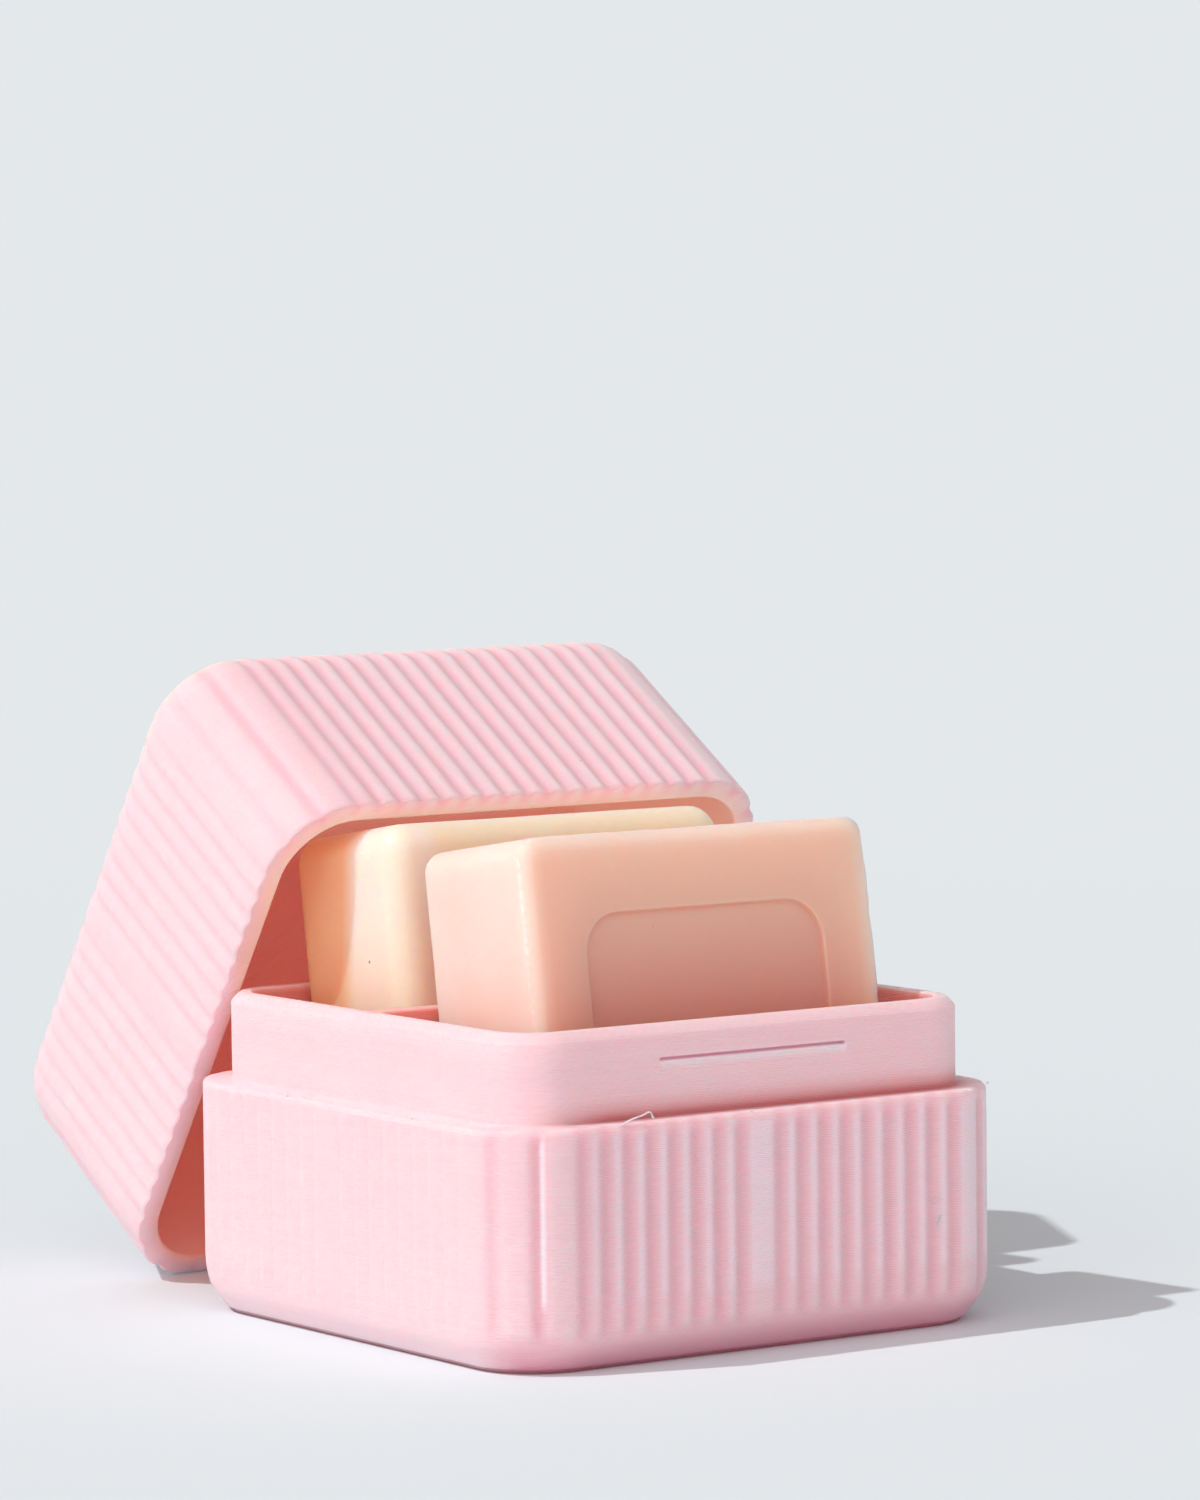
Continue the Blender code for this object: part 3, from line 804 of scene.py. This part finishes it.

# %% [markdown]
# ## Pink printed plastic
#
# The real surface is matte, a little translucent, and made of layers about a quarter of a millimetre
# high. Each layer bulges out, and none lies exactly above the next, so faint streaks run round the
# case. Flat tops show the nozzle's diagonal passes instead. Height along the piece's own axis gives
# the layers, so the leaning lid has its own turned copy of the pattern. Light soaks some millimetres
# into the plastic, red furthest. On the real lid it comes right through the walls, and the inside
# glows like terracotta; a faint emission in the hollows is painted light for that. Shade is painted
# into the base colour too: deep terracotta painted shade in the hollows, with painted bounce light on
# the lid's upper side, a dark painted shade in the crease round the neck, painted shade under the
# foot and a painted contact shadow at the ground. The distance from the square's core tells these
# places apart, because it is the same all the way round a wall, corners included. Away from the sun
# the ribs' crests are painted paler as light and their valleys deeper as shade, and the layers fray
# the valleys' edges. One rib at the near corner has a painted glint. The recess has painted light in
# its lower part, under a painted dark line of shade along its upper part.

# %% The tones of the tub and the lid
PINK = (0.920, 0.715, 0.765)
DEEP_PINK = (0.890, 0.630, 0.690)
# From here down, every colour but the print speck is painted light or shade on the plastic.
CREST_LIGHT_PINK = (0.970, 0.800, 0.890)
VALLEY_SHADE_PINK = (0.870, 0.510, 0.590)
PAINTED_LIGHT_PINK = (1.000, 0.880, 0.950)
RECESS_SHADE_PINK = (0.700, 0.320, 0.400)
HOLLOW_SHADE_PINK = (0.960, 0.500, 0.420)
HOLLOW_GLOW = (0.070, 0.015, 0.013)
HOLLOW_BOUNCE_PINK = (0.970, 0.740, 0.650)
HOLLOW_BOUNCE_GLOW = (0.200, 0.095, 0.065)
CREASE_SHADE_PINK = (0.680, 0.140, 0.140)
FOOT_SHADE_PINK = (0.700, 0.240, 0.350)
CONTACT_SHADOW_PINK = (0.450, 0.090, 0.120)
PRINT_SPECK = (0.450, 0.200, 0.240)
POCKET_SHADE_PINK = (0.700, 0.260, 0.220)
LID_CREST_LIGHT_PINK = (0.945, 0.790, 0.835)
LID_VALLEY_SHADE_PINK = (0.900, 0.560, 0.650)
SUN_EDGE = 0.0090
CREST_EDGE = 0.4
RIM_FADE = 0.0010
RIB_FADE = 0.0020
TUB_CORNER_FADE = 0.0120
LID_CORNER_FADE = 0.0080
GLINT_AT, GLINT_WIDTH = -0.0361, 0.00035
GLINT_FRONT = -0.0360
RECESS_SHADE_AT, RECESS_SHADE_EDGE = CATCH_HEIGHT + CATCH_TALL * 0.08, 0.0003
SHOULDER_EDGE = 0.0002
CREASE_HEIGHT, CREASE_WIDTH = 0.0045, 0.0030
FOOT_SHADE = FOOT_HEIGHT * 0.7
CONTACT_SHADE = 0.0008


def from_core(x, y):
    """How far a place lies from the flat-sided core of the rounded square, whatever its side."""
    over = [(abs(value) - FLAT_HALF).above_zero() for value in (x, y)]
    return (over[0] * over[0] + over[1] * over[1]) ** 0.5


def away_from_sun(x, y):
    """Is 0 on the sunlit left, which gets less painted light and shade, and grows to 1 round its edges.
    """
    return (x + abs(y)).rises(-SUN_EDGE, SUN_EDGE)


def tub_tones(x, y, z, valley, recess_share):
    """Shares of the hollows' painted shade and its brighter part, then painted light and shade tones.
    """
    reach, shaded = from_core(x, y), away_from_sun(x, y)
    neck = CORNER_RADIUS - NECK_INSET
    # Painted shade in the hollows, up to just below the rim.
    inside = reach.falls(neck - NECK_WALL * 0.4, NECK_WALL * 0.5)
    divider = abs(y).falls(DIVIDER * 1.25, DIVIDER * 0.5) * 0.5
    inside = inside * ((RIM_HEIGHT - z) / RIM_FADE + divider).clamped()
    on_ribs = z.falls(SHOULDER_HEIGHT, RIB_FADE) * z.rises(FOOT_HEIGHT, RIB_FADE)
    past_corner = x.rises(-FLAT_HALF - TUB_CORNER_FADE / 2, TUB_CORNER_FADE)
    # Painted light on the ribs' crests and painted shade in their valleys, away from the sun.
    crest = valley.falls(CREST_EDGE, CREST_EDGE) * on_ribs * shaded * past_corner
    # A painted highlight: the glint along one rib at the near corner.
    glint = abs(x - GLINT_AT).falls(GLINT_WIDTH * 1.2, GLINT_WIDTH) * y.falls(GLINT_FRONT, RIB_FADE)
    # Painted shade along the recess's upper part, over painted light in the rest of the recess.
    recess_shade = (recess_share * 2).clamped() * z.rises(RECESS_SHADE_AT, RECESS_SHADE_EDGE)
    # Painted dark shade in the crease where the neck meets the shoulder, away from the sun.
    over_shoulder = z.rises(SHOULDER_HEIGHT - SHOULDER_EDGE, SHOULDER_EDGE)
    near_shoulder = z.falls(SHOULDER_HEIGHT + CREASE_HEIGHT, CREASE_HEIGHT) ** 3.0
    near_neck = reach.falls(neck + CREASE_WIDTH, CREASE_WIDTH)
    crease = over_shoulder * near_shoulder * near_neck * (1 - inside) * shaded * past_corner
    # Painted shade low on the foot, and a painted contact shadow along the ground.
    foot = z.falls(FOOT_SHADE, FOOT_SHADE) * shaded
    contact = z.falls(CONTACT_SHADE, CONTACT_SHADE)
    return inside * 0.85, 0.0, ((crest * 0.6, CREST_LIGHT_PINK), (valley ** 0.7 * shaded * 0.8, VALLEY_SHADE_PINK),
                                (glint * on_ribs * 0.8, PAINTED_LIGHT_PINK), (crease, CREASE_SHADE_PINK),
                                ((recess_share * 1.8).clamped() * 0.95, PAINTED_LIGHT_PINK), (recess_shade, RECESS_SHADE_PINK),
                                (foot * 0.85, FOOT_SHADE_PINK), (contact, CONTACT_SHADOW_PINK),
                                (inside * 0.75, POCKET_SHADE_PINK))


def lid_tones(x, y, z, valley, _):
    """The same for the lid. Its hollow's painted shade fades across the rim, latest on the upper side.
    """
    reach, shaded = from_core(x, y), away_from_sun(x, y)
    inside = reach.falls(CORNER_RADIUS - LID_WALL * 0.15, LID_WALL * 0.85)
    inside = inside ** (2.2 - y.falls(0.0, 0.030) * 1.4)
    inside = inside * z.falls(LID_HEIGHT - LID_CROWN * 0.5, RIM_FADE)
    # The hollow's upper side takes painted bounce light instead of the deep shade.
    bright = y.falls(-0.003, 0.010)
    past_corner = x.rises(-FLAT_HALF, LID_CORNER_FADE)
    # Painted light on the lid's rib crests and painted shade in its valleys, away from the sun.
    crest = valley.falls(CREST_EDGE, CREST_EDGE) * (1 - inside) * shaded * past_corner
    return inside, bright, ((crest * 0.7, LID_CREST_LIGHT_PINK),
                            (valley ** 1.2 * 0.7 * shaded, LID_VALLEY_SHADE_PINK))


# %% The plastic's recipe
LAYER = 0.00024
PASS_WIDTH = 0.00045
PLASTIC_REACH, PLASTIC_DEPTH = (1.0, 0.16, 0.13), 0.0026


def printed_plastic(name, place, look_up, tones):
    recipe = Recipe(bpy.data.materials.new(name))
    local = recipe.own_place(place)
    x, y, z = recipe.parts(local)
    valley = recipe.make("ShaderNodeAttribute", {"attribute_name": "valley"}, {}, "Fac")
    recess_share = recipe.make("ShaderNodeAttribute", {"attribute_name": "recess_share"}, {}, "Fac")
    drift = recipe.noise(recipe.stretched(local, (90, 90, 700)), 1.0, 2.0)
    layers = abs((z * (math.pi / LAYER) + drift * 2.2).sine())
    streaks = recipe.noise(recipe.stretched(local, (45, 45, 2600)), 1.0, 3.0, 0.6)
    passes = abs(((x + y) * (math.pi / PASS_WIDTH / math.sqrt(2)) + drift * 1.5).sine())
    facing = recipe.make("ShaderNodeTexCoord", {}, {}, "Normal")
    upward = recipe.make("ShaderNodeVectorMath", {"operation": "DOT_PRODUCT"},
                         {0: facing, 1: look_up}, 1)
    flat = abs(upward).rises(0.93, 1 / 30)
    grain = layers * (1 - flat) + passes * flat
    cloud = recipe.noise(local, 55, 3.0)
    grit = recipe.noise(local, 5200, 2.0)
    depth = (0.25 + (streaks - 0.5) * 0.7 + (cloud - 0.5) * 0.5 + (1 - grain) * 0.16).clamped()
    colour = recipe.mix(depth, PINK, DEEP_PINK)
    fringed = (valley + (grain - 0.64) * valley * (1 - valley) * 1.6).clamped()
    hollow, bright, others = tones(x, y, z, fringed, recess_share.clamped())
    for share, tone in ((hollow, recipe.mix(bright, HOLLOW_SHADE_PINK, HOLLOW_BOUNCE_PINK)), *others):
        colour = recipe.mix(share, colour, tone)
    specks = recipe.specks(local, 130.0, 0.022, 1 / 90, 61)
    colour = recipe.mix(specks * 0.8, colour, PRINT_SPECK)
    # The hollows' faint emission is painted light, a glow that stands for light through the walls.
    through = recipe.mix(hollow, (0.0, 0.0, 0.0), recipe.mix(bright, HOLLOW_GLOW, HOLLOW_BOUNCE_GLOW))
    rough = 0.50 + (streaks - 0.5) * 0.18 + (grit - 0.5) * 0.10
    soft = recipe.bump(streaks, 0.00005)
    ridged = recipe.bump(grain, 0.000045, soft)
    fine = recipe.bump(grit, 0.000009, ridged)
    shader = recipe.tree.nodes["Principled BSDF"]
    recipe.fill(shader, {"Base Color": colour, "Roughness": rough, "Normal": fine,
                         "Emission Color": through, "Emission Strength": 1.0,
                         "Subsurface Weight": 1.0, "Subsurface Radius": PLASTIC_REACH,
                         "Subsurface Scale": PLASTIC_DEPTH, "Specular IOR Level": 0.35})
    return recipe.owner


pink_tub = printed_plastic("pink printed plastic, tub", Matrix.Identity(4), (0, 0, 1), tub_tones)
pink_lid = printed_plastic("pink printed plastic, lid", lid_place, tuple(lid_out), lid_tones)
for piece, finish in ((tub, pink_tub), (string, pink_tub), (beads, pink_tub), (lid, pink_lid)):
    piece.data.materials.append(finish)
print("plastic on", tub.name, "and", lid.name)

# %% [markdown]
# ## Waxy soap
#
# Solid shampoo scatters light for several millimetres, so a lit edge glows into the shaded face next
# to it, and nothing on it is quite sharp. Subsurface scattering at its full weight does that. On top
# come a slow mottle from the pour, fine pits, a few hairline scratches, a few specks, and gloss that
# varies where fingers have been. Light and shade are painted into the colour as well: the lid's
# shadow painted orange on the rear bar's side, painted warm bounce light low down in the tub, painted
# shade on the rear bar's front, and painted shade that deepens to salmon down the front bar's face.
# The front bar's seam has pale crumbs of painted highlight along its left edge.

# %% The tones of the two bars
CREAM = (0.920, 0.845, 0.770)
CREAM_DEEP = (0.910, 0.795, 0.680)
# Painted bounce light, painted shade and the lid's painted shadow on the rear bar:
LOW_BOUNCE_PEACH = (0.940, 0.750, 0.560)
FRONT_SHADE_TAN = (0.920, 0.740, 0.510)
LID_SHADOW_ORANGE = (0.950, 0.520, 0.270)
BLUSH = (0.930, 0.735, 0.670)
BLUSH_DEEP = (0.900, 0.655, 0.560)
# Painted shade on the front bar's face, and the painted highlight on its seam:
BLUSH_FACE_SHADE = (0.885, 0.620, 0.465)
BLUSH_LOW_SHADE = (0.720, 0.350, 0.280)
SEAM_HIGHLIGHT = (0.970, 0.880, 0.840)


def cream_tones(_, x, y, z):
    """Painted light and shade on the rear bar, each with its share of the colour."""
    # Painted bounce light low in the tub, painted shade on the front, the lid's shadow on the side.
    low = z.falls(0.053, 0.016)
    front = y.falls(-0.0095, 0.0030) * x.rises(-0.0230, 0.0030)
    lid_shadow = x.falls(-0.0240, 0.0035) * (y + (z - 0.060) * 0.18).rises(-0.0045, 0.0035)
    return (low * 0.6, LOW_BOUNCE_PEACH), (front * 0.7, FRONT_SHADE_TAN), (lid_shadow * 0.9, LID_SHADOW_ORANGE)


def blush_tones(recipe, x, y, z):
    """The same for the front bar: painted shade on its face, deeper low down, and its seam's highlight.
    """
    half_width, face_at = FRONT_BAR[0] / 2, -FRONT_BAR[1] / 2
    from_edge = half_width - abs(x)
    # Painted shade over the face, fading at its top and side edges, and deeper at its foot.
    face = y.falls(face_at + 0.0020, 0.0010) * from_edge.rises(0.0006, 0.0030)
    face = face * z.falls(FRONT_BAR[2] - 0.0006, 0.0030)
    low = z.falls(0.060, 0.021) * from_edge.rises(0.0, 0.011)
    # Pale crumbs of painted highlight along the seam, by the left edge.
    crumbs = recipe.noise(recipe.where(), 900, 2.0).rises(0.42, 0.20)
    seam = abs(y - (face_at + SEAM_SETBACK)).falls(0.00039, 0.00030) * crumbs
    seam = seam * x.falls(-0.0255, 0.0020)
    return (face * 0.9, BLUSH_FACE_SHADE), (face * low, BLUSH_LOW_SHADE), (seam * 0.7, SEAM_HIGHLIGHT)


# %% The soap's recipe
SPECK = (0.300, 0.170, 0.110)
SCUFF = (0.950, 0.850, 0.760)
DARK_SPECK_AT = (-0.02565, 0.01685, 0.04971)
DARK_SPECK_SIZE = 0.00028
SOAP_DEPTH = 0.0100


def soap(name, place, pale, deep, tones, radius, seed):
    recipe = Recipe(bpy.data.materials.new(name))
    local = recipe.own_place(place)
    x, y, z = recipe.parts(local)
    mottle = recipe.noise(recipe.stretched(local, (38, 38, 30)), 1.0 + seed * 0.05, 4.0, 0.6)
    pits = recipe.noise(local, 2400, 3.0, 0.6)
    hair = recipe.noise(recipe.stretched(local, (2600, 2600, 90)), 1.0, 2.0)
    scratches = hair.rises(0.70, 1 / 9)
    from_speck = recipe.distance(recipe.where(), DARK_SPECK_AT)
    lone = from_speck.falls(DARK_SPECK_SIZE, DARK_SPECK_SIZE / 2)
    specks = (recipe.specks(local, 110.0, 0.045, 1 / 60, 37 + seed) + lone).clamped()
    handled = recipe.noise(local, 70 + seed, 2.0)
    body = recipe.mix(((mottle - 0.5) * 2.2 + 0.4).clamped(), pale, deep)
    for share, tone in tones(recipe, x, y, z):
        body = recipe.mix(share, body, tone)
    scuffed = recipe.mix(scratches * 0.25, body, SCUFF)
    colour = recipe.mix(specks, scuffed, SPECK)
    rough = 0.40 + (handled - 0.5) * 0.26 + scratches * 0.15
    dented = recipe.bump(pits, 0.000035)
    marked = recipe.bump(1 - scratches, 0.000030, dented)
    shader = recipe.tree.nodes["Principled BSDF"]
    recipe.fill(shader, {"Base Color": colour, "Roughness": rough, "Normal": marked,
                         "Subsurface Weight": 1.0, "Subsurface Radius": radius,
                         "Subsurface Scale": SOAP_DEPTH, "Specular IOR Level": 0.45,
                         "Coat Weight": 0.06, "Coat Roughness": 0.25})
    return recipe.owner


blush_soap = soap("blush soap", front_place, BLUSH, BLUSH_DEEP, blush_tones, (1.0, 0.40, 0.26), 3)
cream_soap = soap("cream soap", rear_place, CREAM, CREAM_DEEP, cream_tones, (1.0, 0.40, 0.18), 8)
front_bar.data.materials.append(blush_soap)
rear_bar.data.materials.append(cream_soap)
print("soap on", front_bar.name, "and", rear_bar.name)

# %% [markdown]
# ## The floor
#
# The case stands on an endless pale sweep. A wide plane gives it, matte near the object so that it
# takes the shadow. Further out it changes softly to the background's own colour, so there is no
# horizon.

# %% Floor
BACKDROP = (0.776, 0.807, 0.831)
FLOOR_COLOUR = (0.775, 0.868, 0.912)
FLOOR_SIZE = 60.0
FLOOR_CLEAR, FLOOR_FADE = 0.28, 0.50

floor_mesh = bmesh.new()
bmesh.ops.create_grid(floor_mesh, x_segments=1, y_segments=1, size=FLOOR_SIZE / 2)
floor_data = bpy.data.meshes.new("floor")
floor_mesh.to_mesh(floor_data)
floor_mesh.free()
floor = bpy.data.objects.new("floor", floor_data)
bpy.context.scene.collection.objects.link(floor)

floor_recipe = Recipe(bpy.data.materials.new("pale floor"))
where = floor_recipe.where()
away = floor_recipe.make("ShaderNodeVectorMath", {"operation": "LENGTH"}, {0: where}, 1)
paper = floor_recipe.noise(where, 900, 3.0)
tooth = floor_recipe.bump(paper, 0.00002)
matte = floor_recipe.tree.nodes["Principled BSDF"]
floor_recipe.fill(matte, {"Base Color": (*FLOOR_COLOUR, 1), "Roughness": 0.9, "Normal": tooth,
                          "Specular IOR Level": 0.15})
far = floor_recipe.make("ShaderNodeEmission", {}, {"Color": (*BACKDROP, 1), "Strength": 1.0})
near = Signal(floor_recipe, matte.outputs[0])
beyond = away.rises(FLOOR_CLEAR, FLOOR_FADE)
blended = floor_recipe.make("ShaderNodeMixShader", {}, {0: beyond, 1: near, 2: far})
floor_recipe.fill(floor_recipe.tree.nodes["Material Output"], {"Surface": blended})
floor_data.materials.append(floor_recipe.owner)
print(f"floor laid, fading out between {FLOOR_CLEAR:.2f} and {FLOOR_CLEAR + FLOOR_FADE:.2f} m")

# %% [markdown]
# ## Light
#
# One hard light stands for the sun. It comes from the left, steeply and a little from behind, so the
# left sides and the tops are lit, and the fronts are lit only by the sky and by the floor. The sky is
# dim overhead and brighter towards the horizon, which keeps the floor's shadow deep while the fronts
# stay pale. A warm glow low on the left grazes the fronts and brings out their ribs. The camera sees
# the plain backdrop colour instead of the sky.

# %% Sun and sky
TO_SUN = Vector((-0.580, 0.161, 0.799))
SUN_STRENGTH = 1.64
SUN_ANGLE = 1.2
SUN_COLOUR = (1.000, 0.985, 0.965)
SKY_HORIZON = 0.68
SKY_ZENITH = 0.30
SKY_TINT = (1.00, 0.965, 0.965)
GLOW = 1.20
GLOW_FROM = Vector((-0.80, -0.58, 0.16)).normalized()
GLOW_WARM = (1.22, 0.95, 0.90)

sun_data = bpy.data.lights.new("sun", "SUN")
sun_data.energy = SUN_STRENGTH
sun_data.angle = math.radians(SUN_ANGLE)
sun_data.color = SUN_COLOUR
sun = bpy.data.objects.new("sun", sun_data)
sun.rotation_euler = TO_SUN.to_track_quat("Z", "Y").to_euler()
bpy.context.scene.collection.objects.link(sun)

sky = bpy.data.worlds.new("sky")
bpy.context.scene.world = sky
sky_recipe = Recipe(sky)
direction = sky_recipe.make("ShaderNodeTexCoord", {}, {}, "Generated")
height = sky_recipe.parts(direction)[2].clamped()
towards = sky_recipe.make("ShaderNodeVectorMath", {"operation": "DOT_PRODUCT"},
                          {0: direction, 1: GLOW_FROM}, 1)
dome = SKY_ZENITH + (SKY_HORIZON - SKY_ZENITH) * (1 - height) ** 2.0
glow = GLOW * towards.clamped() ** 2.5
tint = sky_recipe.mix(glow / (glow + dome), SKY_TINT, GLOW_WARM)
lit = sky_recipe.make("ShaderNodeBackground", {}, {"Color": tint, "Strength": dome + glow})
seen = sky_recipe.make("ShaderNodeBackground", {}, {"Color": (*BACKDROP, 1), "Strength": 1.0})
rays = [sky_recipe.make("ShaderNodeLightPath", {}, {}, ray)
        for ray in ("Is Camera Ray", "Is Glossy Ray", "Is Transmission Ray")]
plain = sky_recipe.make("ShaderNodeMixShader", {}, {0: (rays[0] + rays[1] + rays[2]).clamped(),
                                                    1: lit, 2: seen})
sky_recipe.fill(sky.node_tree.nodes["World Output"], {"Surface": plain})
print("sun at", round(math.degrees(math.asin(TO_SUN.normalized().z))), "degrees above the ground")

# %% [markdown]
# ## Camera
#
# The photograph was taken from a little above the case with a long lens, so the sides hardly
# converge. Yaw, pitch and roll aim the camera, and two small offsets move it sideways and up, so that
# the object lies low in the frame and nothing needs a lens shift.

# %% Camera
PICTURE_HEIGHT = 1500
FOCAL_PIXELS = 6342.807
SENSOR = 36.0
YAW, PITCH, ROLL = 0.6042446, 0.0700353, -0.0114296
AIM = Vector((0, 0, 0.020))
DISTANCE = 0.885893
ASIDE, ABOVE = 0.00114337, 0.05875632

forward = Vector((math.sin(YAW) * math.cos(PITCH), math.cos(YAW) * math.cos(PITCH), -math.sin(PITCH)))
level_right = Vector((math.cos(YAW), -math.sin(YAW), 0))
right = Matrix.Rotation(-ROLL, 3, forward) @ level_right
above = right.cross(forward)
camera_data = bpy.data.cameras.new("camera")
camera_data.sensor_fit = "VERTICAL"
camera_data.sensor_height = SENSOR
camera_data.lens = FOCAL_PIXELS * SENSOR / PICTURE_HEIGHT
camera_data.clip_start, camera_data.clip_end = 0.05, 200.0
camera = bpy.data.objects.new("camera", camera_data)
place = AIM - DISTANCE * forward + ASIDE * right + ABOVE * above
camera.matrix_world = Matrix((right, above, -forward)).transposed().to_4x4()
camera.matrix_world.translation = place
bpy.context.scene.collection.objects.link(camera)
bpy.context.scene.camera = camera
bpy.context.scene.view_settings.view_transform = "Standard"
print("camera at", [round(value, 4) for value in place], "with a", round(camera_data.lens), "mm lens")
